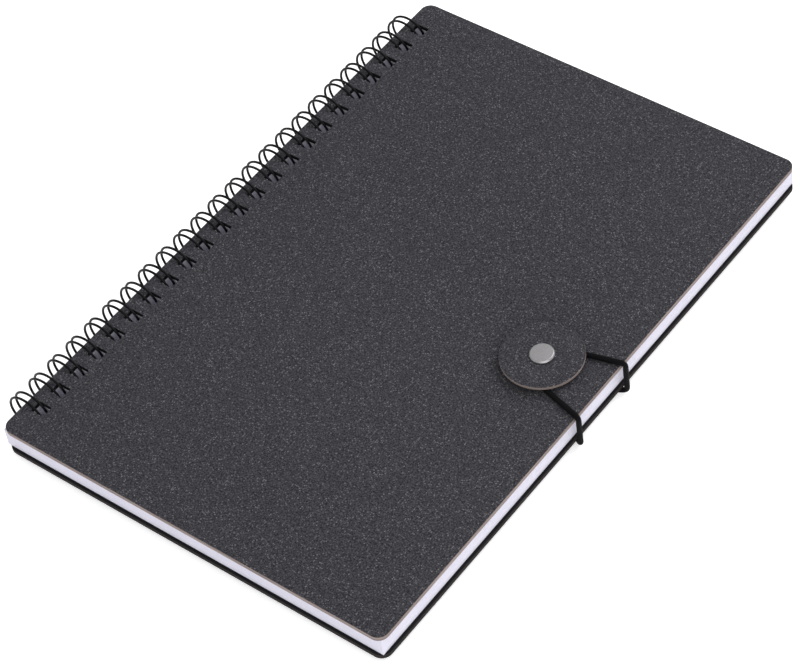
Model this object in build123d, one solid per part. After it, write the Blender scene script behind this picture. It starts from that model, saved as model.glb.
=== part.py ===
from build123d import *
from math import cos, degrees, hypot, pi, radians, sin
import os

# A wire-bound notebook with a cord-and-button closure, in millimetres.
# The book frame has X from the covers' spine edge to the fore edge, Y from the lower edge to the
# upper edge, and Z up from the back cover's outer face. Every piece is moved to the export frame
# at the end: the middle of the footprint, with the lowest point at Z = 0.

# Covers and pages
cover_width = 140.8
cover_height = 210.0
board = 1.5                # thickness of each cover
corner_radius = 3.4
block_thickness = 6.6      # the stack of pages
block_gap = 0.15           # between the stack and each cover
page_inset = 0.9           # pages stop short of the covers at head, tail and fore edge

# Wire binding
wire_diameter = 0.8
loop_pitch = 25.4 / 3      # three loops to the inch
least_end_margin = 8.0     # from the covers' ends to the first and last loop
twin_spacing = 2.4         # between the two wires of one loop
axis_outside = 0.2         # the loops' axis stands outside the spine edge
hole_margin = 3.2          # board left between the spine edge and a hole
margin_clearance = 0.2     # between the wire and that margin as a cover turns
hole_slack = 1.1           # beyond the wire at a hole's far end
hole_side_clearance = 0.4  # beside each wire in a hole
root_bend_radius = 1.0     # where a loop's wire turns to run along the spine
seam_gap = 2.4             # along the wire, from the hairpin's centre to the root bends
seam_angle = 270.0         # the seam lies at the bottom of the loops

# Button on the front cover
button_x = 120.5
button_y = 104.9
button_diameter = 25.4
button_board = 1.0
spacer_diameter = 8.2
cap_diameter = 7.7
cap_height = 0.85
cap_bevel = 0.45
rivet_radius = 1.5
running_clearance = 0.05   # round the rivet and above and below the button
set_clearance = 0.02       # round a rivet in the pieces it clamps

# Inner flange of each rivet, pressed flush into the board
flange_radius = 4.0
flange_thickness = 0.4
recess_clearance = 0.05

# Elastic cord and its anchor under the back cover
cord_diameter = 1.7
cord_clearance = 0.1       # above, below and beside the cord
edge_clearance = 0.4       # between the cord and the fore edges
cord_bend_radius = 1.5     # over each cover's fore edge, to the middle of the cord
strand_spread = 23.8       # between the two strands at the fore edge
wrap_radius = 6.3          # of the cord's loop under the button, to its middle
anchor_x = 121.0
anchor_y = 104.0           # the cord's strands lie evenly each side of its anchor
anchor_radius = 2.0
anchor_head_radius = 4.5
anchor_head_height = 0.5

# Worked out from the values above
anchor = (anchor_x, anchor_y)
thickness = 2 * board + 2 * block_gap + block_thickness
middle_z = thickness / 2
axis_x = -axis_outside
ring_radius = hypot(hole_margin + axis_outside, middle_z) + margin_clearance + wire_diameter / 2
hole_end = axis_x + ring_radius + wire_diameter / 2 + hole_slack
hole_length = hole_end - hole_margin
hole_width = twin_spacing + wire_diameter + 2 * hole_side_clearance
loop_count = int((cover_height - 2 * least_end_margin) / loop_pitch) + 1
first_loop_y = (cover_height - (loop_count - 1) * loop_pitch) / 2
loop_ys = [first_loop_y + index * loop_pitch for index in range(loop_count)]

spacer_height = cord_diameter + 1.5 * cord_clearance
button_z = thickness + spacer_height + running_clearance
cap_z = button_z + button_board + running_clearance
anchor_head_z = -(cord_diameter + 2 * cord_clearance) - anchor_head_height

cord_front_z = thickness + cord_clearance + cord_diameter / 2
cord_back_z = -(cord_clearance + cord_diameter / 2)
cord_edge_x = cover_width + edge_clearance + cord_diameter / 2

footprint_low_x = axis_x - ring_radius - wire_diameter / 2
footprint_high_x = cord_edge_x + cord_diameter / 2
export_place = Location(
    (-(footprint_low_x + footprint_high_x) / 2, -cover_height / 2, -anchor_head_z)
)


def binding_holes(low_z, height):
    """One rectangular hole for each twin loop."""
    holes = []
    for loop_y in loop_ys:
        centre = ((hole_margin + hole_end) / 2, loop_y, low_z + height / 2)
        holes.append(Pos(*centre) * Box(hole_length, hole_width, height + 2))
    return holes


def disc(radius, low_z, height, centre=(button_x, button_y)):
    return Pos(*centre, low_z + height / 2) * Cylinder(radius, height)


def cover(low_z):
    outline = RectangleRounded(cover_width, cover_height, corner_radius)
    sheet = extrude(Pos(cover_width / 2, cover_height / 2, low_z) * outline, board)
    return sheet - binding_holes(low_z, board)


def make_front_cover():
    inner_z = thickness - board
    recess = disc(flange_radius + recess_clearance, inner_z, flange_thickness)
    hole = disc(rivet_radius + set_clearance, inner_z - 1, board + 2)
    return cover(inner_z) - recess - hole


def make_back_cover():
    recess_z = board - flange_thickness
    recess = disc(flange_radius + recess_clearance, recess_z, flange_thickness, anchor)
    hole = disc(anchor_radius + set_clearance, -1, board + 2, anchor)
    return cover(0) - recess - hole


def make_page_block():
    low_z = board + block_gap
    width = cover_width - page_inset
    height = cover_height - 2 * page_inset
    centre = (width / 2, cover_height / 2, low_z + block_thickness / 2)
    stack = Pos(*centre) * Box(width, height, block_thickness)
    return stack - binding_holes(low_z, block_thickness)


def make_flange(low_z, bore_radius, centre):
    ring = disc(flange_radius, low_z, flange_thickness, centre)
    return ring - disc(bore_radius + set_clearance, low_z - 1, flange_thickness + 2, centre)


def make_button_disc():
    board_disc = disc(button_diameter / 2, button_z, button_board)
    return board_disc - disc(rivet_radius + running_clearance, button_z - 1, button_board + 2)


def make_button_spacer():
    ring = disc(spacer_diameter / 2, thickness, spacer_height)
    return ring - disc(rivet_radius + set_clearance, thickness - 1, spacer_height + 2)


def make_button_rivet():
    """A flat cap with a bevelled rim, in one piece with its shank."""
    cap = disc(cap_diameter / 2, cap_z, cap_height)
    cap = chamfer(cap.edges().group_by(Axis.Z)[-1], cap_bevel)
    inner_z = thickness - board
    return cap + disc(rivet_radius, inner_z, cap_z - inner_z)


def make_anchor_rivet():
    head = disc(anchor_head_radius, anchor_head_z, anchor_head_height, anchor)
    head = chamfer(head.edges().group_by(Axis.Z)[0], anchor_head_height / 2)
    shank_z = anchor_head_z + anchor_head_height
    return head + disc(anchor_radius, shank_z, board - shank_z, anchor)


def ring_plane(angle, y):
    """On the wire at an angle round the loops' axis: local X along the spine, local Y the way
    the angle grows, local Z outwards."""
    outwards = Vector(cos(radians(angle)), 0, sin(radians(angle)))
    origin = Vector(axis_x, y, middle_z) + outwards * ring_radius
    return Plane(origin=origin, x_dir=(0, 1, 0), z_dir=outwards)


def flat_bend(centre_x, start_angle, turn, radius):
    """A bend of wire in the local XY plane, about (centre_x, 0)."""
    start = Plane(
        origin=(centre_x + radius * cos(radians(start_angle)), radius * sin(radians(start_angle)), 0),
        z_dir=(-sin(radians(start_angle)), cos(radians(start_angle)), 0),
    )
    axis = Axis((centre_x, 0, 0), (0, 0, 1))
    return revolve(start * Circle(wire_diameter / 2), axis, turn)


def make_loop(y):
    """One twin loop: a hairpin whose two wires run round to their root bends, and half of the
    straight run to each neighbour. The wire is cut through the middle of its end runs."""
    seam_turn = degrees(seam_gap / ring_radius)
    tip_angle = seam_angle - seam_turn / 2
    root_angle = seam_angle + seam_turn / 2
    ring_axis = Axis((axis_x, y, middle_z), (0, -1, 0))
    half_run = (loop_pitch - twin_spacing) / 2 - root_bend_radius
    root = ring_plane(root_angle, y)
    pieces = [ring_plane(tip_angle, y) * flat_bend(0, 0, 180, twin_spacing / 2)]
    for side, bend_start in ((-1, 270), (1, 180)):
        start = ring_plane(root_angle, y + side * twin_spacing / 2)
        section = Plane(origin=start.origin, x_dir=(0, 1, 0), z_dir=start.y_dir)
        pieces.append(revolve(section * Circle(wire_diameter / 2), ring_axis, 360 - seam_turn))
        bend_x = side * (twin_spacing / 2 + root_bend_radius)
        pieces.append(root * flat_bend(bend_x, bend_start, 90, root_bend_radius))
        run_middle = Pos(bend_x + side * half_run / 2, -root_bend_radius, 0)
        pieces.append(root * run_middle * Rot(0, 90, 0) * Cylinder(wire_diameter / 2, half_run))
    return pieces


def make_wire_binding():
    """Every loop of the spine, as one bent wire."""
    pieces = []
    for loop_y in loop_ys:
        pieces += make_loop(loop_y)
    return pieces[0].fuse(*pieces[1:])


def make_elastic_loop():
    """Corner points from one clamped end, round the button's spacer, to the other end."""
    low_y = anchor_y - strand_spread / 2
    high_y = anchor_y + strand_spread / 2
    points = [
        (122.84, 102.99, cord_back_z),
        (cord_edge_x, low_y, cord_back_z),
        (cord_edge_x, low_y, cord_front_z),
        (116.98, 98.6, cord_front_z),
        (114.43, 104.0, cord_front_z),
        (116.98, 109.4, cord_front_z),
        (cord_edge_x, high_y, cord_front_z),
        (cord_edge_x, high_y, cord_back_z),
        (122.84, 105.01, cord_back_z),
    ]
    radii = [cord_bend_radius] * 2 + [wrap_radius * 0.98] * 3 + [cord_bend_radius] * 2
    path = FilletPolyline(*points, radius=radii)
    start = Plane(origin=path @ 0, z_dir=path % 0)
    tube = sweep(start * Circle(cord_diameter / 2), path=path)
    expected = pi * (cord_diameter / 2) ** 2 * path.length
    print(f"cord length {path.length:.2f}, volume ratio {tube.volume / expected:.4f}, radii {radii}")
    return tube


parts = {
    "front_cover": make_front_cover(),
    "back_cover": make_back_cover(),
    "page_block": make_page_block(),
    "wire_binding": make_wire_binding(),
    "button_disc": make_button_disc(),
    "button_spacer": make_button_spacer(),
    "button_rivet": make_button_rivet(),
    "button_flange": make_flange(thickness - board, rivet_radius, (button_x, button_y)),
    "elastic_loop": make_elastic_loop(),
    "anchor_rivet": make_anchor_rivet(),
    "anchor_flange": make_flange(board - flange_thickness, anchor_radius, anchor),
}

os.makedirs("parts", exist_ok=True)
for name, shape in parts.items():
    placed = export_place * shape
    solids = placed.solids()
    print(name, len(solids), "solid", round(placed.volume, 2), placed.is_valid)
    export_step(placed if len(solids) > 1 else solids[0], f"parts/{name}.step")
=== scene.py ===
import bmesh
import bpy
from math import cos, degrees, pi, radians, sin
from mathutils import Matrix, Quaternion, Vector


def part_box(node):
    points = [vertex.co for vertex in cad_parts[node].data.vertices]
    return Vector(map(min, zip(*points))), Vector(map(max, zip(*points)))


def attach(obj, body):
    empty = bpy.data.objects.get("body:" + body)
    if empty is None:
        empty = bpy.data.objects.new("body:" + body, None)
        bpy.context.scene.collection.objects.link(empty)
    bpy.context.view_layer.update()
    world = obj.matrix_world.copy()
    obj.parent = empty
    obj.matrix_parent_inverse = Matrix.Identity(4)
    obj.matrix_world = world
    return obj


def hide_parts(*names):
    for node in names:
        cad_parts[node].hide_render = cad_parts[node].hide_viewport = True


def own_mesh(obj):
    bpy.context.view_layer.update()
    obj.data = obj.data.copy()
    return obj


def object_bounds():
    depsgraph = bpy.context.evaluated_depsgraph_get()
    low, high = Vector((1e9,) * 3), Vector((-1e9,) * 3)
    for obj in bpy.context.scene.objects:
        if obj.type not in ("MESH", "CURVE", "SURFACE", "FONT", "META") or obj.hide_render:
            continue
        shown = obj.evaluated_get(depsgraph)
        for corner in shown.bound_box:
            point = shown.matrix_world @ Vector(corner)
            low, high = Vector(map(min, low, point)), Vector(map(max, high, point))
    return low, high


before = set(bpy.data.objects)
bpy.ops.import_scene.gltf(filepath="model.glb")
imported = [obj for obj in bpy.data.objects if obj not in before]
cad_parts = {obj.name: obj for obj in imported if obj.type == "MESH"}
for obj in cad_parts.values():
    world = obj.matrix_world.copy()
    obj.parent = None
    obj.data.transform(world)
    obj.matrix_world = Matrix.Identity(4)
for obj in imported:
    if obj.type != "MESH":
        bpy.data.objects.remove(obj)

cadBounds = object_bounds()
mm = 0.001
collection = bpy.context.scene.collection


def boxCorners(box):
    # a box's lowest and highest corner, as vectors
    return tuple(Vector(corner) for corner in box)


# the book's own corner: spine edge and lower edge of the covers, outer face of the back cover
frontLow, frontHigh = boxCorners(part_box("front_cover"))
backLow = boxCorners(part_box("back_cover"))[0]
bookCorner = Vector((frontLow.x, frontLow.y, backLow.z))
coverHeight = frontHigh.y - frontLow.y
bookThickness = frontHigh.z - backLow.z


def addObject(name, data):
    piece = bpy.data.objects.new(name, data)
    collection.objects.link(piece)
    return piece


def smoothByAngle(mesh, angle=35):
    for polygon in mesh.polygons:
        polygon.use_smooth = True
    mesh.set_sharp_from_angle(angle=radians(angle))


def plainMesh(piece):
    # the evaluated shape becomes the mesh, and the modifiers go
    bpy.context.view_layer.update()
    graph = bpy.context.evaluated_depsgraph_get()
    mesh = bpy.data.meshes.new_from_object(piece.evaluated_get(graph))
    piece.modifiers.clear()
    piece.data = mesh
    return piece


def roundedRectangle(lowX, lowY, highX, highY, radius, steps):
    corners = ((highX, lowY, -90), (highX, highY, 0), (lowX, highY, 90), (lowX, lowY, 180))
    points = []
    for cornerX, cornerY, startAngle in corners:
        centreX = cornerX - radius if cornerX == highX else cornerX + radius
        centreY = cornerY - radius if cornerY == highY else cornerY + radius
        for step in range(steps + 1):
            angle = radians(startAngle + 90 * step / steps)
            points.append((centreX + radius * cos(angle), centreY + radius * sin(angle)))
    return points


def circlePoints(centre, radius, steps):
    return [
        (centre.x + radius * cos(2 * pi * step / steps), centre.y + radius * sin(2 * pi * step / steps))
        for step in range(steps)
    ]


def cutSheet(name, outline, holes, lowZ, highZ):
    # a flat sheet with holes: its top is filled, then pulled down to the bottom
    shape = bmesh.new()
    edges = []
    for loop in [outline] + holes:
        corners = [shape.verts.new((x, y, highZ)) for x, y in loop]
        edges += [shape.edges.new((corners[i - 1], corners[i])) for i in range(len(corners))]
    bmesh.ops.triangle_fill(shape, edges=edges, use_beauty=True, normal=(0, 0, 1))
    pulled = bmesh.ops.extrude_face_region(shape, geom=shape.faces[:], use_keep_orig=True)
    lowered = [item for item in pulled["geom"] if isinstance(item, bmesh.types.BMVert)]
    bmesh.ops.translate(shape, verts=lowered, vec=(0, 0, lowZ - highZ))
    bmesh.ops.recalc_face_normals(shape, faces=shape.faces[:])
    mesh = bpy.data.meshes.new(name)
    shape.to_mesh(mesh)
    shape.free()
    return mesh


def softenEdges(piece, width, segments):
    bevel = piece.modifiers.new("softEdge", "BEVEL")
    bevel.width = width
    bevel.segments = segments
    bevel.limit_method = "ANGLE"
    bevel.angle_limit = radians(40)
    bevel.use_clamp_overlap = True
    return plainMesh(piece)


def turnedPiece(name, profile, centre, steps, material, body, nodes):
    # profile is (radius, height) from the axis or bore outwards, closed back to its start
    shape = bmesh.new()
    rings = []
    for radius, height in profile:
        if radius < 1e-9:
            rings.append([shape.verts.new((centre.x, centre.y, height))])
            continue
        rings.append([shape.verts.new((x, y, height)) for x, y in circlePoints(centre, radius, steps)])
    pairs = list(zip(rings, rings[1:]))
    if len(rings[0]) > 1 or len(rings[-1]) > 1:
        pairs.append((rings[-1], rings[0]))
    for lower, upper in pairs:
        for step in range(steps):
            after = (step + 1) % steps
            corners = []
            for vertex in (
                lower[step % len(lower)], lower[after % len(lower)],
                upper[after % len(upper)], upper[step % len(upper)],
            ):
                if vertex not in corners:
                    corners.append(vertex)
            if len(corners) > 2:
                shape.faces.new(corners)
    bmesh.ops.recalc_face_normals(shape, faces=shape.faces[:])
    mesh = bpy.data.meshes.new(name)
    shape.to_mesh(mesh)
    shape.free()
    smoothByAngle(mesh, 30)
    mesh.materials.append(material)
    piece = addObject(name, mesh)
    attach(piece, body)
    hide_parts(*nodes)
    return piece


def newMaterial(name):
    material = bpy.data.materials.new(name)
    material.use_nodes = True
    tree = material.node_tree
    shader = tree.nodes["Principled BSDF"]
    coordinates = tree.nodes.new("ShaderNodeTexCoord")
    return material, tree, shader, coordinates.outputs["Object"]


def noiseNode(tree, source, scale, detail=2.0, roughness=0.5):
    node = tree.nodes.new("ShaderNodeTexNoise")
    node.inputs["Scale"].default_value = scale
    node.inputs["Detail"].default_value = detail
    node.inputs["Roughness"].default_value = roughness
    tree.links.new(source, node.inputs["Vector"])
    return node.outputs["Fac"]


def rampNode(tree, source, stops):
    node = tree.nodes.new("ShaderNodeValToRGB")
    ramp = node.color_ramp
    while len(ramp.elements) < len(stops):
        ramp.elements.new(0.5)
    for element, (place, colour) in zip(ramp.elements, stops):
        element.position = place
        element.color = (*colour, 1) if len(colour) == 3 else colour
    tree.links.new(source, node.inputs["Fac"])
    return node.outputs["Color"]


def mathNode(tree, operation, first, second):
    node = tree.nodes.new("ShaderNodeMath")
    node.operation = operation
    for index, value in enumerate((first, second)):
        if isinstance(value, (int, float)):
            node.inputs[index].default_value = value
        else:
            tree.links.new(value, node.inputs[index])
    return node.outputs[0]


def mixColours(tree, share, first, second, blendType="MIX"):
    node = tree.nodes.new("ShaderNodeMix")
    node.data_type = "RGBA"
    node.blend_type = blendType
    for name, value in (("Factor_Float", share), ("A_Color", first), ("B_Color", second)):
        socket = next(item for item in node.inputs if item.identifier == name)
        if isinstance(value, (int, float)):
            socket.default_value = value
        elif isinstance(value, tuple):
            socket.default_value = (*value, 1)
        else:
            tree.links.new(value, socket)
    return next(item for item in node.outputs if item.identifier == "Result_Color")


def bumpNode(tree, shader, height, strength, distance):
    node = tree.nodes.new("ShaderNodeBump")
    node.inputs["Strength"].default_value = strength
    node.inputs["Distance"].default_value = distance
    tree.links.new(height, node.inputs["Height"])
    tree.links.new(node.outputs["Normal"], shader.inputs["Normal"])


def mappedVector(tree, source, scale):
    node = tree.nodes.new("ShaderNodeMapping")
    node.inputs["Scale"].default_value = scale
    tree.links.new(source, node.inputs["Vector"])
    return node.outputs["Vector"]


flecked = {   # grey board paper: dark mottling, pale specks and short threads
    "dark": (0.012, 0.0115, 0.015),
    "base": (0.076, 0.074, 0.085),
    "fleck": (0.21, 0.205, 0.22),
    "fibreScale": 2100.0,    # mottling about half a millimetre across
    "speckScale": 1700.0,
    "speckRadius": 0.30,
    "speckShare": 0.55,      # the higher, the fewer specks
    "threadScale": 2600.0,
    "threadStretch": (1.0, 0.35, 1.0),
    "roughness": 0.85,
    "gloss": 0.15,
}


def fleckedBoard():
    material, tree, shader, place = newMaterial("fleckedBoard")
    mottle = noiseNode(tree, place, flecked["fibreScale"], 3.0, 0.7)
    base = rampNode(tree, mottle, [(0.37, flecked["dark"]), (0.65, flecked["base"])])
    cells = tree.nodes.new("ShaderNodeTexVoronoi")
    cells.inputs["Scale"].default_value = flecked["speckScale"]
    tree.links.new(place, cells.inputs["Vector"])
    radius = flecked["speckRadius"]
    near = rampNode(tree, cells.outputs["Distance"], [(radius * 0.6, (1, 1, 1)), (radius * 1.6, (0, 0, 0))])
    chosen = tree.nodes.new("ShaderNodeSeparateColor")
    tree.links.new(cells.outputs["Color"], chosen.inputs["Color"])
    few = rampNode(tree, chosen.outputs["Red"], [(flecked["speckShare"], (0, 0, 0)), (1.0, (1, 1, 1))])
    specks = mathNode(tree, "MULTIPLY", near, few)
    stretched = mappedVector(tree, place, flecked["threadStretch"])
    fibres = noiseNode(tree, stretched, flecked["threadScale"], 2.0, 0.6)
    threads = rampNode(tree, fibres, [(0.58, (0, 0, 0)), (0.76, (0.35, 0.35, 0.35))])
    light = mathNode(tree, "MAXIMUM", specks, threads)
    colour = mixColours(tree, light, base, flecked["fleck"])
    tree.links.new(colour, shader.inputs["Base Color"])
    shader.inputs["Roughness"].default_value = flecked["roughness"]
    shader.inputs["Specular IOR Level"].default_value = flecked["gloss"]
    bumpNode(tree, shader, mottle, 0.25, 0.06 * mm)
    return material


cutBoard = {
    "plyStretch": (60.0, 60.0, 5200.0),   # thin plies, long along the cut
    "frontDark": (0.145, 0.110, 0.100),
    "frontLight": (0.36, 0.300, 0.280),
    # painted shade: the back cover's cut edge is the same board as the front's, drawn near black as it lies
    # in shade by the floor
    "backEdgeShadeDark": (0.010, 0.008, 0.008),
    "backEdgeShadeLight": (0.032, 0.025, 0.023),
    "roughness": 0.9,
    "gloss": 0.2,
}


def boardEdge(name, dark, light):
    material, tree, shader, place = newMaterial(name)
    plies = noiseNode(tree, mappedVector(tree, place, cutBoard["plyStretch"]), 1.0, 3.0, 0.6)
    colour = rampNode(tree, plies, [(0.30, dark), (0.70, light)])
    tree.links.new(colour, shader.inputs["Base Color"])
    shader.inputs["Roughness"].default_value = cutBoard["roughness"]
    shader.inputs["Specular IOR Level"].default_value = cutBoard["gloss"]
    bumpNode(tree, shader, plies, 0.5, 0.05 * mm)
    return material


liner = {
    "dark": (0.004, 0.004, 0.005),
    "light": (0.009, 0.009, 0.011),
    "grainScale": 1400.0,
    "roughness": 0.75,
    "gloss": 0.15,
}


def blackLiner():
    material, tree, shader, place = newMaterial("blackLiner")
    grain = noiseNode(tree, place, liner["grainScale"], 4.0, 0.6)
    colour = rampNode(tree, grain, [(0.3, liner["dark"]), (0.7, liner["light"])])
    tree.links.new(colour, shader.inputs["Base Color"])
    shader.inputs["Roughness"].default_value = liner["roughness"]
    shader.inputs["Specular IOR Level"].default_value = liner["gloss"]
    bumpNode(tree, shader, grain, 0.2, 0.04 * mm)
    return material


paperLook = {
    "dark": (0.68, 0.665, 0.76),
    "light": (0.75, 0.735, 0.83),
    "fibreScale": 1800.0,
    "cloudScale": 120.0,
    "paintedHoleShadow": 0.03,       # painted shadow: the white paper walls inside the holes are darkened almost to black
}


def writingPaper(name, shade):
    material, tree, shader, place = newMaterial(name)
    fibre = noiseNode(tree, place, paperLook["fibreScale"], 3.0, 0.6)
    cloud = noiseNode(tree, place, paperLook["cloudScale"], 2.0, 0.5)
    fine = rampNode(tree, fibre, [(0.3, paperLook["dark"]), (0.7, paperLook["light"])])
    clouded = (0.97 * shade, 0.97 * shade, 0.98 * shade)
    broad = rampNode(tree, cloud, [(0.3, clouded), (0.7, (shade, shade, shade))])
    colour = mixColours(tree, 1.0, fine, broad, "MULTIPLY")
    tree.links.new(colour, shader.inputs["Base Color"])
    shader.inputs["Roughness"].default_value = 0.85
    shader.inputs["Specular IOR Level"].default_value = 0.25
    bumpNode(tree, shader, fibre, 0.15, 0.03 * mm)
    return material


wireLook = {
    "dark": (0.002, 0.002, 0.0025),
    "light": (0.006, 0.006, 0.007),
    "smooth": 0.26,
    "rough": 0.36,
    "gloss": 0.1,
}
nickelLook = {
    "dark": (0.36, 0.35, 0.36),
    "light": (0.45, 0.44, 0.45),
    "smooth": 0.30,
    "rough": 0.40,
}


def grainedMetal(name, look, scale, grainRoughness, bumpStrength, bumpDepth):
    # one fine grain varies both the colour and the roughness
    material, tree, shader, place = newMaterial(name)
    grain = noiseNode(tree, place, scale, 3.0, grainRoughness)
    colour = rampNode(tree, grain, [(0.3, look["dark"]), (0.7, look["light"])])
    roughness = rampNode(tree, grain, [(0.3, (look["smooth"],) * 3), (0.7, (look["rough"],) * 3)])
    tree.links.new(colour, shader.inputs["Base Color"])
    tree.links.new(roughness, shader.inputs["Roughness"])
    bumpNode(tree, shader, grain, bumpStrength, bumpDepth)
    return material, shader


def coatedWire():
    material, shader = grainedMetal("coatedWire", wireLook, 900.0, 0.55, 0.08, 0.03 * mm)
    shader.inputs["Specular IOR Level"].default_value = wireLook["gloss"]
    return material


def satinNickel():
    material, shader = grainedMetal("satinNickel", nickelLook, 2600.0, 0.6, 0.10, 0.02 * mm)
    shader.inputs["Metallic"].default_value = 1.0
    return material


braid = {
    "strands": 8,            # round the cord
    "picks": 6.5,            # along each diameter
    "dark": (0.0015, 0.0015, 0.002),
    "light": (0.006, 0.006, 0.007),
    "roughness": 0.7,
    "gloss": 0.06,
    "sheen": 0.02,
}


def braidedElastic():
    # a fine diagonal braid that follows the cord's own map: U once round, V in diameters along it
    material, tree, shader, place = newMaterial("braidedElastic")
    around = tree.nodes.new("ShaderNodeUVMap")
    around.uv_map = "alongCord"
    parts = tree.nodes.new("ShaderNodeSeparateXYZ")
    tree.links.new(around.outputs["UV"], parts.inputs["Vector"])
    across = mathNode(tree, "MULTIPLY", parts.outputs["X"], braid["strands"] * 2 * pi)
    along = mathNode(tree, "MULTIPLY", parts.outputs["Y"], braid["picks"] * 2 * pi)
    oneWay = mathNode(tree, "SINE", mathNode(tree, "ADD", across, along), 0.0)
    otherWay = mathNode(tree, "SINE", mathNode(tree, "SUBTRACT", across, along), 0.0)
    weave = mathNode(tree, "MAXIMUM", oneWay, otherWay)
    height = mathNode(tree, "ADD", mathNode(tree, "MULTIPLY", weave, 0.5), 0.5)
    # painted shade: the braid's colour is darker in the grooves between its strands and lighter on their
    # crests
    colour = rampNode(tree, height, [(0.2, braid["dark"]), (0.9, braid["light"])])
    tree.links.new(colour, shader.inputs["Base Color"])
    shader.inputs["Roughness"].default_value = braid["roughness"]
    shader.inputs["Specular IOR Level"].default_value = braid["gloss"]
    shader.inputs["Sheen Weight"].default_value = braid["sheen"]
    shader.inputs["Sheen Roughness"].default_value = 0.4
    bumpNode(tree, shader, height, 0.5, 0.06 * mm)
    return material


def groundMaterial():
    material, tree, shader, place = newMaterial("paleGround")
    shader.inputs["Base Color"].default_value = (0.95, 0.95, 0.955, 1)
    shader.inputs["Roughness"].default_value = 0.9
    shader.inputs["Emission Color"].default_value = (1.0, 1.0, 1.0, 1)
    shader.inputs["Emission Strength"].default_value = 0.5      # lifts the shadow, as on a lit table
    return material


boardFace = fleckedBoard()
frontEdge = boardEdge("greyBrownEdge", cutBoard["frontDark"], cutBoard["frontLight"])
# painted shade: the back cover's edge gets much darker copies of the cut board's colours
backEdge = boardEdge("darkEdge", cutBoard["backEdgeShadeDark"], cutBoard["backEdgeShadeLight"])
boardInside = blackLiner()
paper = writingPaper("writingPaper", 1.0)
# painted shadow: a darkened copy of the writing paper for the walls inside the binding holes
punchedPaper = writingPaper("punchedPaper", paperLook["paintedHoleShadow"])
wireCoat = coatedWire()
rivetMetal = satinNickel()
cordBraid = braidedElastic()
print("materials made")


cameraView = {
    "target": Vector((72.33, 97.5, 0.0)) * mm,   # from the book's corner
    "azimuth": 44.204,                           # degrees from the lower edge towards the fore edge
    "elevation": 48.563,
    "distance": 908.29 * mm,
    "roll": -9.468,
    "lens": 136.47,
}


def placeCamera():
    azimuth, elevation = radians(cameraView["azimuth"]), radians(cameraView["elevation"])
    outwards = Vector((sin(azimuth) * cos(elevation), -cos(azimuth) * cos(elevation), sin(elevation)))
    camera = bpy.data.objects.new("camera", bpy.data.cameras.new("camera"))
    collection.objects.link(camera)
    camera.location = bookCorner + cameraView["target"] + outwards * cameraView["distance"]
    turn = outwards.to_track_quat("Z", "Y") @ Quaternion((0, 0, 1), radians(cameraView["roll"]))
    camera.rotation_mode = "QUATERNION"
    camera.rotation_quaternion = turn
    camera.data.lens = cameraView["lens"]
    camera.data.sensor_width = 36.0
    camera.data.sensor_fit = "HORIZONTAL"
    camera.data.clip_start = 0.05
    camera.data.clip_end = 20.0
    bpy.context.scene.camera = camera


studio = {
    "skyColour": (1.0, 1.0, 1.0),
    "skyStrength": 0.68,
    "keyPlace": Vector((0.35, 1.05, 1.15)),
    "keySize": 1.1,
    "keyPower": 8.8,
    "fillPlace": Vector((0.9, -0.6, 0.8)),
    "fillSize": 1.4,
    "fillPower": 4.8,
    "groundSize": 6.0,
}


def areaLight(name, place, size, power):
    lamp = bpy.data.lights.new(name, "AREA")
    lamp.shape = "DISK"
    lamp.size = size
    lamp.energy = power
    light = bpy.data.objects.new(name, lamp)
    light.location = place
    light.rotation_euler = (-place).to_track_quat("-Z", "Y").to_euler()
    collection.objects.link(light)


def buildStudio():
    half = studio["groundSize"] / 2
    mesh = bpy.data.meshes.new("ground")
    lowZ = cadBounds[0][2]
    square = [(-half, -half, lowZ), (half, -half, lowZ), (half, half, lowZ), (-half, half, lowZ)]
    mesh.from_pydata(square, [], [(0, 1, 2, 3)])
    mesh.materials.append(groundMaterial())
    ground = addObject("ground", mesh)
    world = bpy.data.worlds.new("studio")
    world.use_nodes = True
    sky = world.node_tree.nodes["Background"]
    sky.inputs["Color"].default_value = (*studio["skyColour"], 1)
    sky.inputs["Strength"].default_value = studio["skyStrength"]
    bpy.context.scene.world = world
    areaLight("keyLight", studio["keyPlace"], studio["keySize"], studio["keyPower"])
    areaLight("fillLight", studio["fillPlace"], studio["fillSize"], studio["fillPower"])
    bpy.context.scene.view_settings.view_transform = "Standard"


placeCamera()
buildStudio()
print("camera and studio placed")


binding = {
    "loopCount": 23,
    "loopPitch": 25.4 / 3 * mm,
    "wireRadius": 0.4 * mm,
    "twinSpacing": 2.4 * mm,
    "axisOutside": 0.2 * mm,      # the loops' axis stands outside the spine edge
    "rootBend": 1.0 * mm,
    "seamGap": 2.4 * mm,
    "seamAngle": 270.0,
    "holeMargin": 3.2 * mm,       # from the spine edge to a hole
    "holeSlack": 1.1 * mm,        # beyond the wire at a hole's far end
    "holeSide": 0.4 * mm,         # beside each wire
    "holeCorner": 0.35 * mm,
}
middleZ = bookCorner.z + bookThickness / 2
axisX = bookCorner.x - binding["axisOutside"]
wireLow = boxCorners(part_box("wire_binding"))[0]
ringRadius = axisX - wireLow.x - binding["wireRadius"]
firstLoopY = bookCorner.y + (coverHeight - (binding["loopCount"] - 1) * binding["loopPitch"]) / 2
holeLowX = bookCorner.x + binding["holeMargin"]
holeHighX = axisX + ringRadius + binding["wireRadius"] + binding["holeSlack"]
holeHalfWidth = binding["twinSpacing"] / 2 + binding["wireRadius"] + binding["holeSide"]


def bindingHoles():
    holes = []
    for index in range(binding["loopCount"]):
        loopY = firstLoopY + index * binding["loopPitch"]
        holes.append(roundedRectangle(
            holeLowX, loopY - holeHalfWidth,
            holeHighX, loopY + holeHalfWidth,
            binding["holeCorner"], 3,
        ))
    return holes


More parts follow.
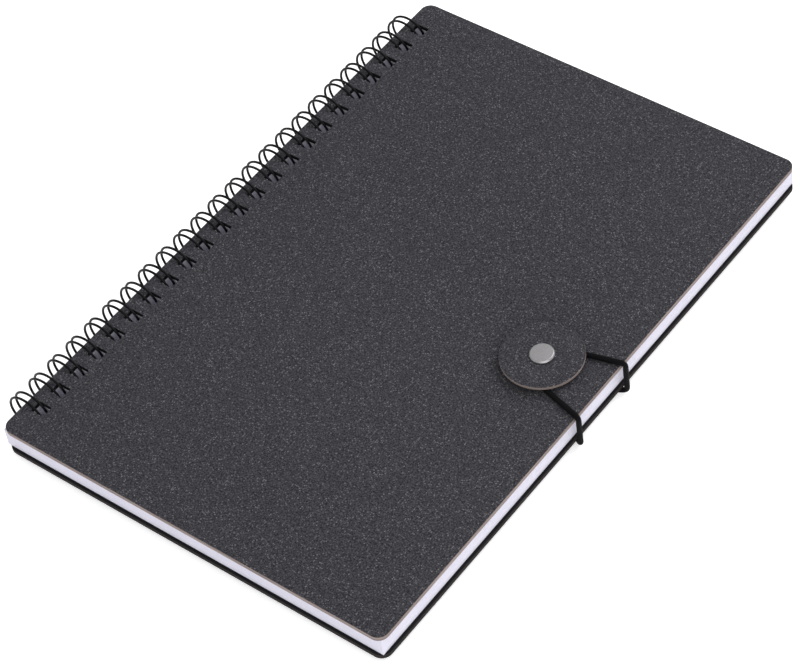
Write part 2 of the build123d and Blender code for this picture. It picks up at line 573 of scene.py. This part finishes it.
cover = {
    "cornerRadius": 3.4 * mm,
    "cornerSteps": 14,
    "softEdge": 0.14 * mm,
    "buttonPlace": Vector((120.5, 104.9, 0.0)) * mm,   # from the book's corner
    "anchorPlace": Vector((121.0, 104.0, 0.0)) * mm,
    "recessRadius": 4.05 * mm,
    "recessDepth": 0.4 * mm,
    "buttonBore": 1.52 * mm,
    "anchorBore": 2.02 * mm,
}
buttonCentre = bookCorner + cover["buttonPlace"]
anchorCentre = bookCorner + cover["anchorPlace"]


def dressBoard(piece, outerUp, bodyName, nodeName, backMaterial, edgeMaterial):
    # face paper on the outer side, liner on the inner side, bare board at the outline, and the black liner on
    # the walls inside the holes as painted shade
    mesh = piece.data
    mesh.materials.clear()
    for material in (boardFace, backMaterial, edgeMaterial, boardInside):
        mesh.materials.append(material)
    low, high = boxCorners(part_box(nodeName))
    rim = cover["cornerRadius"]
    for polygon in mesh.polygons:
        upright = polygon.normal.z if outerUp else -polygon.normal.z
        middle = polygon.center
        nearX = min(middle.x - low.x, high.x - middle.x)
        nearY = min(middle.y - low.y, high.y - middle.y)
        outline = nodeName == "button_disc" or min(nearX, nearY) < 0.5 * mm or nearX + nearY < rim
        # index 3 puts the black liner on the hole walls as painted shade, where the real cut board shows its
        # grey-brown core
        polygon.material_index = 0 if upright > 0.6 else 1 if upright < -0.6 else 2 if outline else 3
    smoothByAngle(mesh, 30)
    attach(piece, bodyName)
    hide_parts(nodeName)


def makeCover(name, nodeName, bodyName, outerUp, rivetCentre, rivetRadius, edgeMaterial):
    low, high = boxCorners(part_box(nodeName))
    outline = roundedRectangle(low.x, low.y, high.x, high.y, cover["cornerRadius"], cover["cornerSteps"])
    rivetHole = circlePoints(rivetCentre, rivetRadius, 32)
    recess = circlePoints(rivetCentre, cover["recessRadius"], 48)
    shape = bmesh.new()
    # outer leaf carries the rivet's hole, inner leaf the wider recess of its flange
    splitZ = low.z + cover["recessDepth"] if outerUp else high.z - cover["recessDepth"]
    outerZ, innerZ = (high.z, low.z) if outerUp else (low.z, high.z)
    loops = {}
    for height, rivetLoop in ((outerZ, rivetHole), (innerZ, recess)):
        edges = []
        for index, loop in enumerate([outline] + bindingHoles() + [rivetLoop]):
            corners = [shape.verts.new((x, y, height)) for x, y in loop]
            loops[(height, index)] = corners
            edges += [shape.edges.new((corners[i - 1], corners[i])) for i in range(len(corners))]
        bmesh.ops.triangle_fill(shape, edges=edges, use_beauty=True, normal=(0, 0, 1))
    for index in range(binding["loopCount"] + 1):
        lower, upper = loops[(innerZ, index)], loops[(outerZ, index)]
        for i in range(len(lower)):
            shape.faces.new((lower[i - 1], lower[i], upper[i], upper[i - 1]))
    last = binding["loopCount"] + 1
    shelfOuter = [shape.verts.new((x, y, splitZ)) for x, y in recess]
    shelfInner = [shape.verts.new((x, y, splitZ)) for x, y in rivetHole]
    for lower, upper in ((loops[(innerZ, last)], shelfOuter), (shelfInner, loops[(outerZ, last)])):
        for i in range(len(lower)):
            shape.faces.new((lower[i - 1], lower[i], upper[i], upper[i - 1]))
    edges = []
    for ring in (shelfOuter, shelfInner):
        for i in range(len(ring)):
            edges.append(shape.edges.get((ring[i - 1], ring[i])) or shape.edges.new((ring[i - 1], ring[i])))
    bmesh.ops.triangle_fill(shape, edges=edges, use_beauty=True, normal=(0, 0, 1))
    bmesh.ops.recalc_face_normals(shape, faces=shape.faces[:])
    mesh = bpy.data.meshes.new(name)
    shape.to_mesh(mesh)
    shape.free()
    piece = softenEdges(addObject(name, mesh), cover["softEdge"], 2)
    dressBoard(piece, outerUp, bodyName, nodeName, boardInside, edgeMaterial)


makeCover("frontBoard", "front_cover", "front", True, buttonCentre, cover["buttonBore"], frontEdge)
makeCover("backBoard", "back_cover", "back", False, anchorCentre, cover["anchorBore"], backEdge)
print("covers made")


pages = {
    "sheetCount": 60,
    "sheetShare": 0.88,         # of each sheet's room that its paper fills
    "sideShift": 0.01 * mm,     # how far a sheet may lie out of true
    "seed": 7,
}


def addSocket(tree, name, kind, value=None):
    socket = tree.interface.new_socket(name=name, in_out="INPUT", socket_type=kind)
    if value is not None:
        socket.default_value = value
    return socket.identifier


def stackTree():
    tree = bpy.data.node_groups.new("stackSheets", "GeometryNodeTree")
    inputs = {"sheet": addSocket(tree, "Sheet", "NodeSocketGeometry")}
    inputs["count"] = addSocket(tree, "Sheet Count", "NodeSocketInt", 10)
    inputs["pitch"] = addSocket(tree, "Sheet Pitch", "NodeSocketFloat", 0.0001)
    inputs["shift"] = addSocket(tree, "Side Shift", "NodeSocketFloat", 0.0001)
    inputs["seed"] = addSocket(tree, "Seed", "NodeSocketInt", 1)
    inputs["material"] = addSocket(tree, "Paper", "NodeSocketMaterial")
    tree.interface.new_socket(name="Stack", in_out="OUTPUT", socket_type="NodeSocketGeometry")
    nodes, links = tree.nodes, tree.links
    given = nodes.new("NodeGroupInput")
    result = nodes.new("NodeGroupOutput")
    rise = nodes.new("ShaderNodeCombineXYZ")
    links.new(given.outputs["Sheet Pitch"], rise.inputs["Z"])
    line = nodes.new("GeometryNodeMeshLine")
    line.mode = "OFFSET"
    links.new(given.outputs["Sheet Count"], line.inputs["Count"])
    links.new(rise.outputs["Vector"], line.inputs["Offset"])
    place = nodes.new("GeometryNodeInstanceOnPoints")
    links.new(line.outputs["Mesh"], place.inputs["Points"])
    links.new(given.outputs["Sheet"], place.inputs["Instance"])
    reach = nodes.new("ShaderNodeCombineXYZ")
    links.new(given.outputs["Side Shift"], reach.inputs["X"])
    links.new(given.outputs["Side Shift"], reach.inputs["Y"])
    back = nodes.new("ShaderNodeVectorMath")
    back.operation = "SCALE"
    back.inputs["Scale"].default_value = -1.0
    links.new(reach.outputs["Vector"], back.inputs["Vector"])
    scatter = nodes.new("FunctionNodeRandomValue")
    scatter.data_type = "FLOAT_VECTOR"
    links.new(back.outputs["Vector"], scatter.inputs["Min"])
    links.new(reach.outputs["Vector"], scatter.inputs["Max"])
    links.new(given.outputs["Seed"], scatter.inputs["Seed"])
    move = nodes.new("GeometryNodeTranslateInstances")
    links.new(place.outputs["Instances"], move.inputs["Instances"])
    links.new(scatter.outputs["Value"], move.inputs["Translation"])
    real = nodes.new("GeometryNodeRealizeInstances")
    links.new(move.outputs["Instances"], real.inputs["Geometry"])
    paint = nodes.new("GeometryNodeSetMaterial")
    links.new(real.outputs["Geometry"], paint.inputs["Geometry"])
    links.new(given.outputs["Paper"], paint.inputs["Material"])
    links.new(paint.outputs["Geometry"], result.inputs["Stack"])
    return tree, inputs


def makePages():
    low, high = boxCorners(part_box("page_block"))
    pitch = (high.z - low.z) / pages["sheetCount"]
    spare = pages["sideShift"]
    outline = [
        (low.x + spare, low.y + spare), (high.x - spare, low.y + spare),
        (high.x - spare, high.y - spare), (low.x + spare, high.y - spare),
    ]
    sheetLow = low.z + pitch * (1 - pages["sheetShare"]) / 2
    mesh = cutSheet("sheet", outline, bindingHoles(), sheetLow, sheetLow + pitch * pages["sheetShare"])
    piece = addObject("pageStack", mesh)
    tree, inputs = stackTree()
    stack = piece.modifiers.new("stack", "NODES")
    stack.node_group = tree
    stack[inputs["count"]] = pages["sheetCount"]
    stack[inputs["pitch"]] = pitch
    stack[inputs["shift"]] = spare
    stack[inputs["seed"]] = pages["seed"]
    stack[inputs["material"]] = paper
    plainMesh(piece)
    # painted shadow: the sheets' walls inside the binding holes get the darkened paper copy
    piece.data.materials.append(punchedPaper)
    for polygon in piece.data.polygons:
        middle = polygon.center
        inside = low.x + 1.5 * mm < middle.x < holeHighX + 1 * mm
        inside = inside and low.y + 3 * mm < middle.y < high.y - 3 * mm
        if inside and abs(polygon.normal.z) < 0.5:
            polygon.material_index = 1
    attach(piece, "pages")
    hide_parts("page_block")


makePages()
print("pages stacked")


def loopCentreline():
    # one twin loop at Y = 0, from the middle of one run to the middle of the next
    turn = degrees(binding["seamGap"] / ringRadius)
    tipAngle = binding["seamAngle"] - turn / 2
    rootAngle = binding["seamAngle"] + turn / 2
    halfTwin = binding["twinSpacing"] / 2
    bend = binding["rootBend"]

    def onTangent(angle, y, along):
        # a point beside the ring: along is the way that the angle grows
        out = Vector((cos(radians(angle)), 0, sin(radians(angle))))
        ahead = Vector((-sin(radians(angle)), 0, cos(radians(angle))))
        return Vector((axisX, y, middleZ)) + out * ringRadius + ahead * along

    points = [onTangent(rootAngle, -binding["loopPitch"] / 2, -bend)]
    bendX = halfTwin + bend
    for step in range(0, 7):
        angle = radians(90 * step / 6)
        points.append(onTangent(rootAngle, -bendX + bend * sin(angle), -bend * cos(angle)))
    arcSteps = 60
    for step in range(1, arcSteps + 1):
        angle = rootAngle + (360 - turn) * step / arcSteps
        points.append(onTangent(angle, -halfTwin, 0.0))
    for step in range(1, 12):
        angle = radians(180 - 180 * step / 12)
        points.append(onTangent(tipAngle, halfTwin * cos(angle), halfTwin * sin(angle)))
    mirrored = [Vector((point.x, -point.y, point.z)) for point in reversed(points[: 8 + arcSteps])]
    return points + mirrored


def bindingTree():
    tree = bpy.data.node_groups.new("twinLoops", "GeometryNodeTree")
    inputs = {"line": addSocket(tree, "Loop Line", "NodeSocketGeometry")}
    inputs["count"] = addSocket(tree, "Loop Count", "NodeSocketInt", 10)
    inputs["pitch"] = addSocket(tree, "Loop Pitch", "NodeSocketFloat", 0.008)
    inputs["first"] = addSocket(tree, "First Loop", "NodeSocketFloat", 0.0)
    inputs["radius"] = addSocket(tree, "Wire Radius", "NodeSocketFloat", 0.0004)
    inputs["sides"] = addSocket(tree, "Wire Sides", "NodeSocketInt", 12)
    inputs["material"] = addSocket(tree, "Wire", "NodeSocketMaterial")
    tree.interface.new_socket(name="Binding", in_out="OUTPUT", socket_type="NodeSocketGeometry")
    nodes, links = tree.nodes, tree.links
    given = nodes.new("NodeGroupInput")
    result = nodes.new("NodeGroupOutput")
    section = nodes.new("GeometryNodeCurvePrimitiveCircle")
    links.new(given.outputs["Wire Sides"], section.inputs["Resolution"])
    links.new(given.outputs["Wire Radius"], section.inputs["Radius"])
    centreline = nodes.new("GeometryNodeMeshToCurve")
    links.new(given.outputs["Loop Line"], centreline.inputs["Mesh"])
    tube = nodes.new("GeometryNodeCurveToMesh")
    tube.inputs["Fill Caps"].default_value = True
    links.new(centreline.outputs["Curve"], tube.inputs["Curve"])
    links.new(section.outputs["Curve"], tube.inputs["Profile Curve"])
    start = nodes.new("ShaderNodeCombineXYZ")
    links.new(given.outputs["First Loop"], start.inputs["Y"])
    stride = nodes.new("ShaderNodeCombineXYZ")
    links.new(given.outputs["Loop Pitch"], stride.inputs["Y"])
    line = nodes.new("GeometryNodeMeshLine")
    line.mode = "OFFSET"
    links.new(given.outputs["Loop Count"], line.inputs["Count"])
    links.new(start.outputs["Vector"], line.inputs["Start Location"])
    links.new(stride.outputs["Vector"], line.inputs["Offset"])
    place = nodes.new("GeometryNodeInstanceOnPoints")
    links.new(line.outputs["Mesh"], place.inputs["Points"])
    links.new(tube.outputs["Mesh"], place.inputs["Instance"])
    real = nodes.new("GeometryNodeRealizeInstances")
    links.new(place.outputs["Instances"], real.inputs["Geometry"])
    smooth = nodes.new("GeometryNodeSetShadeSmooth")
    links.new(real.outputs["Geometry"], smooth.inputs["Geometry"])
    paint = nodes.new("GeometryNodeSetMaterial")
    links.new(smooth.outputs["Geometry"], paint.inputs["Geometry"])
    links.new(given.outputs["Wire"], paint.inputs["Material"])
    links.new(paint.outputs["Geometry"], result.inputs["Binding"])
    return tree, inputs


def makeBinding():
    points = loopCentreline()
    mesh = bpy.data.meshes.new("loopLine")
    mesh.from_pydata(points, [(i, i + 1) for i in range(len(points) - 1)], [])
    piece = addObject("twinLoopWire", mesh)
    tree, inputs = bindingTree()
    loops = piece.modifiers.new("loops", "NODES")
    loops.node_group = tree
    loops[inputs["count"]] = binding["loopCount"]
    loops[inputs["pitch"]] = binding["loopPitch"]
    loops[inputs["first"]] = firstLoopY
    loops[inputs["radius"]] = binding["wireRadius"]
    loops[inputs["sides"]] = 12
    loops[inputs["material"]] = wireCoat
    plainMesh(piece)
    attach(piece, "back")
    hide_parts("wire_binding")


makeBinding()
print("binding wound")


button = {
    "softEdge": 0.12 * mm,
    "boreRadius": 1.55 * mm,
    "edgeSteps": 96,
}


def makeButtonDisc():
    low, high = boxCorners(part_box("button_disc"))
    outline = circlePoints(buttonCentre, (high.x - low.x) / 2, button["edgeSteps"])
    bore = circlePoints(buttonCentre, button["boreRadius"], 32)
    mesh = cutSheet("boardButton", outline, [bore], low.z, high.z)
    piece = softenEdges(addObject("boardButton", mesh), button["softEdge"], 2)
    dressBoard(piece, True, "button", "button_disc", boardFace, frontEdge)


def ringProfile(innerRadius, outerRadius, lowZ, highZ, round_):
    # a washer with rounded rims
    profile = [(innerRadius, lowZ), (outerRadius - round_, lowZ)]
    for step in range(1, 5):
        angle = radians(-90 + 90 * step / 4)
        profile.append((outerRadius - round_ + round_ * cos(angle), lowZ + round_ + round_ * sin(angle)))
    for step in range(0, 5):
        angle = radians(90 * step / 4)
        profile.append((outerRadius - round_ + round_ * cos(angle), highZ - round_ + round_ * sin(angle)))
    profile.append((innerRadius, highZ))
    return profile


rivets = {
    "shankRadius": 1.5 * mm,
    "capBevel": 0.45 * mm,
    "capRound": 0.12 * mm,
    "anchorShank": 2.0 * mm,
    "anchorBevel": 0.25 * mm,
    "anchorHeadHeight": 0.5 * mm,
    "capGap": 0.05 * mm,          # lets the button turn under the cap
    "spacerRound": 0.15 * mm,
    "flangeRound": 0.12 * mm,
    "steps": 72,
}


def makeButtonRivet():
    low, high = boxCorners(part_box("button_rivet"))
    capRadius = (high.x - low.x) / 2
    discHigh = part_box("button_disc")[1][2]
    capLow = discHigh + rivets["capGap"]
    bevel, soft, shank = rivets["capBevel"], rivets["capRound"], rivets["shankRadius"]
    profile = [
        (0.0, low.z), (shank, low.z), (shank, capLow),
        (capRadius - soft, capLow), (capRadius - 0.3 * soft, capLow + 0.3 * soft), (capRadius, capLow + soft),
        (capRadius, high.z - bevel - soft * 0.4), (capRadius - soft * 0.3, high.z - bevel + soft * 0.2),
        (capRadius - bevel + soft * 0.5, high.z - soft * 0.45),
        (capRadius - bevel - soft * 0.2, high.z - soft * 0.1),
        (capRadius - bevel - soft * 1.2, high.z), (0.0, high.z),
    ]
    steps = rivets["steps"]
    turnedPiece("buttonRivet", profile, buttonCentre, steps, rivetMetal, "front", ["button_rivet"])


def makeWashers():
    steps = rivets["steps"]
    low, high = boxCorners(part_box("button_spacer"))
    profile = ringProfile(cover["buttonBore"], (high.x - low.x) / 2, low.z, high.z, rivets["spacerRound"])
    turnedPiece(
        "buttonSpacer", profile, buttonCentre, steps, boardInside, "front", ["button_spacer"],
    )
    for name, node, bore, centre, body in (
        ("buttonFlange", "button_flange", cover["buttonBore"], buttonCentre, "front"),
        ("anchorFlange", "anchor_flange", cover["anchorBore"], anchorCentre, "back"),
    ):
        low, high = boxCorners(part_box(node))
        profile = ringProfile(bore, (high.x - low.x) / 2, low.z, high.z, rivets["flangeRound"])
        turnedPiece(name, profile, centre, steps, rivetMetal, body, [node])


def makeAnchorRivet():
    low, high = boxCorners(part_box("anchor_rivet"))
    headRadius = (high.x - low.x) / 2
    headHigh = low.z + rivets["anchorHeadHeight"]
    bevel, soft, shank = rivets["anchorBevel"], rivets["capRound"], rivets["anchorShank"]
    profile = [
        (0.0, low.z), (headRadius - bevel - soft, low.z), (headRadius - bevel, low.z + 0.2 * soft),
        (headRadius - 0.2 * soft, low.z + bevel - 0.2 * soft), (headRadius, low.z + bevel),
        (headRadius, headHigh - 0.3 * soft), (headRadius - 0.3 * soft, headHigh),
        (shank, headHigh), (shank, high.z), (0.0, high.z),
    ]
    steps = rivets["steps"]
    turnedPiece("anchorRivet", profile, anchorCentre, steps, rivetMetal, "back", ["anchor_rivet"])


makeButtonDisc()
makeButtonRivet()
makeWashers()
makeAnchorRivet()
print("button and rivets made")


cord = {
    "diameter": 1.7 * mm,
    "sides": 16,
    # corner points of the route, in millimetres from the book's corner, with extra points along the
    # straight stretches so that the line bends only near the fore edge and the spacer
    "route": [
        (122.84, 102.99, -0.95),
        (132.0, 97.8, -0.95),
        (139.5, 93.55, -0.95),
        (142.05, 92.1, -0.95),
        (142.05, 92.1, 1.9),
        (142.05, 92.1, 8.0),
        (142.05, 92.1, 10.85),
        (139.25, 92.83, 10.85),
        (122.5, 97.17, 10.85),
        (116.98, 98.6, 10.85),
        (114.43, 104.0, 10.85),
        (116.98, 109.4, 10.85),
        (122.5, 110.83, 10.85),
        (139.25, 115.17, 10.85),
        (142.05, 115.9, 10.85),
        (142.05, 115.9, 8.0),
        (142.05, 115.9, 1.9),
        (142.05, 115.9, -0.95),
        (139.5, 114.45, -0.95),
        (132.0, 110.2, -0.95),
        (122.84, 105.01, -0.95),
    ],
}


def cordLine():
    curve = bpy.data.curves.new("cordRoute", "CURVE")
    curve.dimensions = "3D"
    spline = curve.splines.new("NURBS")
    spline.points.add(len(cord["route"]) - 1)
    for point, place in zip(spline.points, cord["route"]):
        point.co = (*(bookCorner + Vector(place) * mm), 1.0)
    spline.order_u = 3
    spline.use_endpoint_u = True
    spline.resolution_u = 12
    route = bpy.data.objects.new("cordRoute", curve)
    collection.objects.link(route)
    bpy.context.view_layer.update()
    graph = bpy.context.evaluated_depsgraph_get()
    mesh = bpy.data.meshes.new_from_object(route.evaluated_get(graph))
    points = [vertex.co.copy() for vertex in mesh.vertices]
    bpy.data.objects.remove(route)
    return [
        point for index, point in enumerate(points)
        if index == 0 or (point - points[index - 1]).length > 1e-7
    ]


def makeCord():
    points = cordLine()
    radius, sides = cord["diameter"] / 2, cord["sides"]
    tangents = []
    for index in range(len(points)):
        before, after = points[max(index - 1, 0)], points[min(index + 1, len(points) - 1)]
        tangents.append((after - before).normalized())
    across = tangents[0].orthogonal().normalized()
    shape = bmesh.new()
    mapLayer = shape.loops.layers.uv.new("alongCord")
    rings, lengths, travelled = [], [], 0.0
    for index, (point, tangent) in enumerate(zip(points, tangents)):
        if index:
            across = (across - tangent * across.dot(tangent)).normalized()
            travelled += (point - points[index - 1]).length
        other = tangent.cross(across)
        rings.append([
            shape.verts.new(point + (across * cos(angle) + other * sin(angle)) * radius)
            for angle in (2 * pi * side / sides for side in range(sides))
        ])
        lengths.append(travelled / cord["diameter"])
    for index in range(len(rings) - 1):
        for side in range(sides):
            after = (side + 1) % sides
            here, ahead = rings[index], rings[index + 1]
            face = shape.faces.new((here[side], here[after], ahead[after], ahead[side]))
            places = ((side, index), (side + 1, index), (side + 1, index + 1), (side, index + 1))
            for corner, (turn, ring) in zip(face.loops, places):
                corner[mapLayer].uv = (turn / sides, lengths[ring])
    shape.faces.new(list(reversed(rings[0])))
    shape.faces.new(rings[-1])
    bmesh.ops.recalc_face_normals(shape, faces=shape.faces[:])
    mesh = bpy.data.meshes.new("elasticCord")
    shape.to_mesh(mesh)
    shape.free()
    smoothByAngle(mesh, 50)
    mesh.materials.append(cordBraid)
    piece = addObject("elasticCord", mesh)
    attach(piece, "back")
    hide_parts("elastic_loop")
    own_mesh(piece)
    print("cord length", round(travelled * 1000, 2))


makeCord()
print("cord laid")
